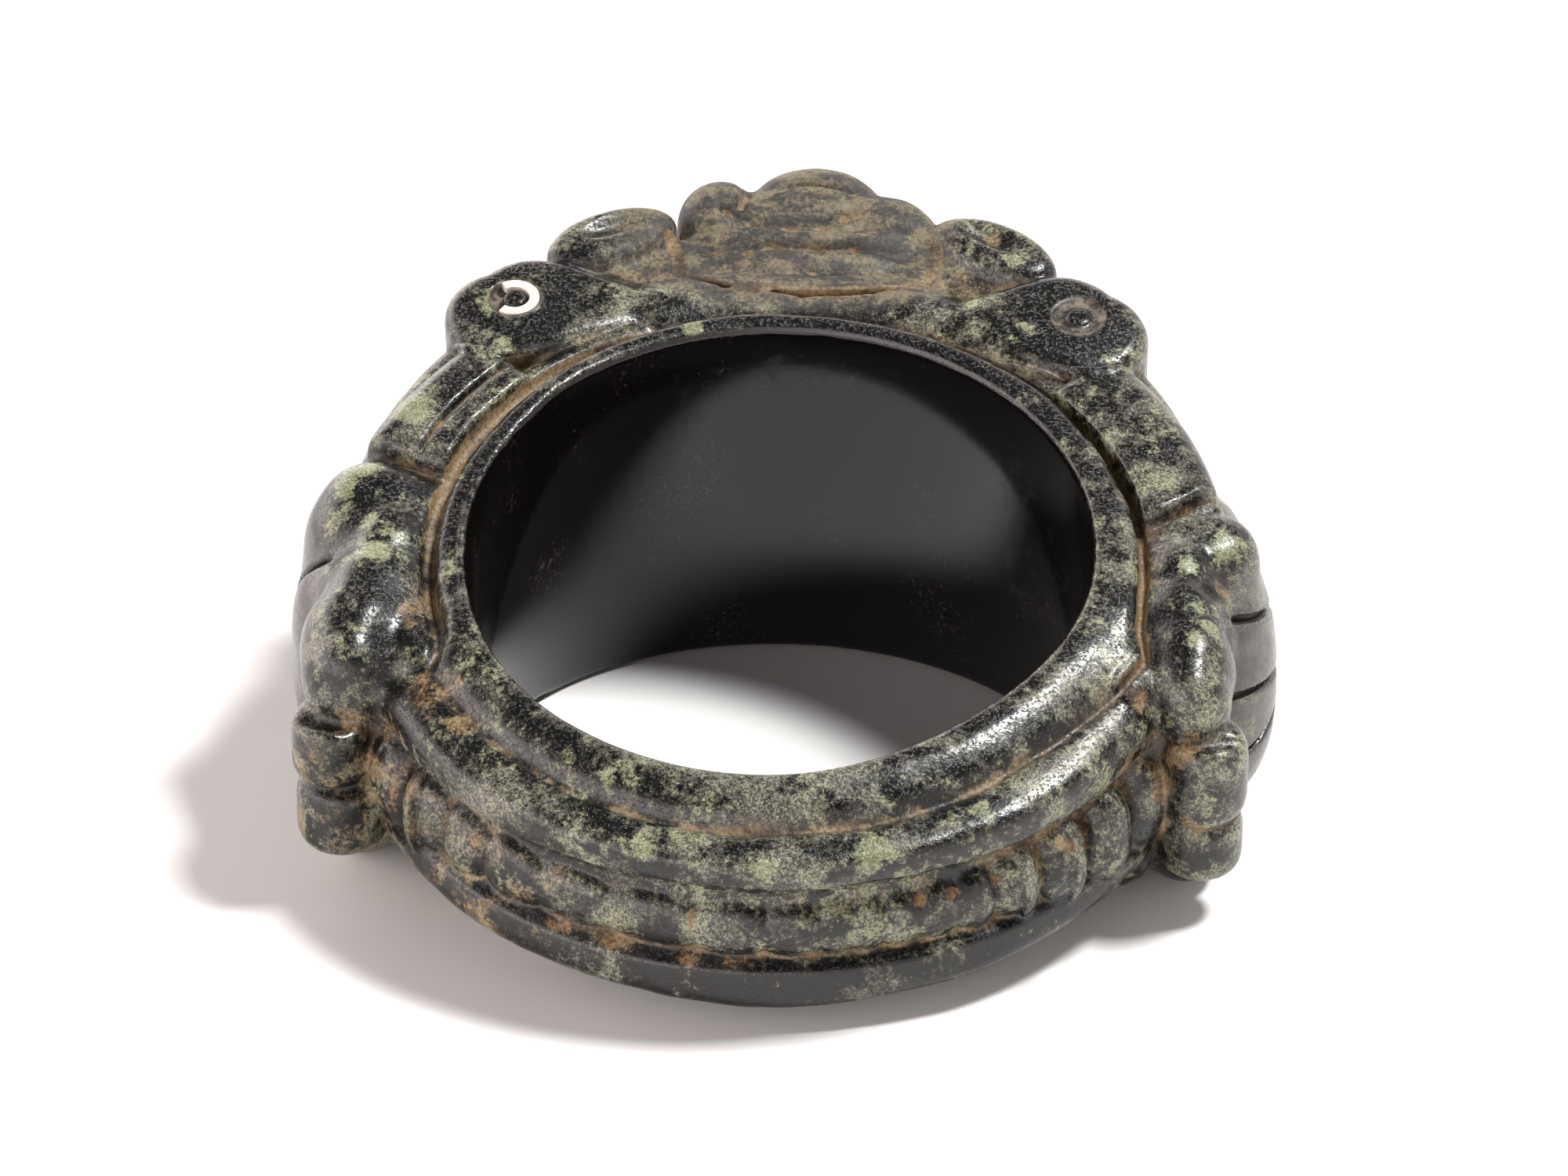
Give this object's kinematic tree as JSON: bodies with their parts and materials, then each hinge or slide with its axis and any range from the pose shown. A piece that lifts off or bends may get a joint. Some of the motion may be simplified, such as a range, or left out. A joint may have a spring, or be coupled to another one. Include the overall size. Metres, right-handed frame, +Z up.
{
  "type": "amulet ring",
  "caption": "Carved dark stone finger ring lying on its side, with a beaded shank, bird heads, necks and wings on its shoulders and a tiered boss at the top.",
  "frame": {"origin": "centre of the finger hole, at half its depth", "axes": "+Z up as the ring lies on one face, +Y towards the boss at the top of the ring, +X to its right shoulder; the finger hole leans 7 degrees from +Z towards -Y"},
  "size_m": [0.032, 0.0327, 0.0148],
  "materials": {
    "stone": "polished, worn, with earth in its hollows",
    "inlay": "matt"
  },
  "bodies": {
    "root": {"ring_body": "stone", "eye_inlay": "inlay"}
  },
  "joints": []
}
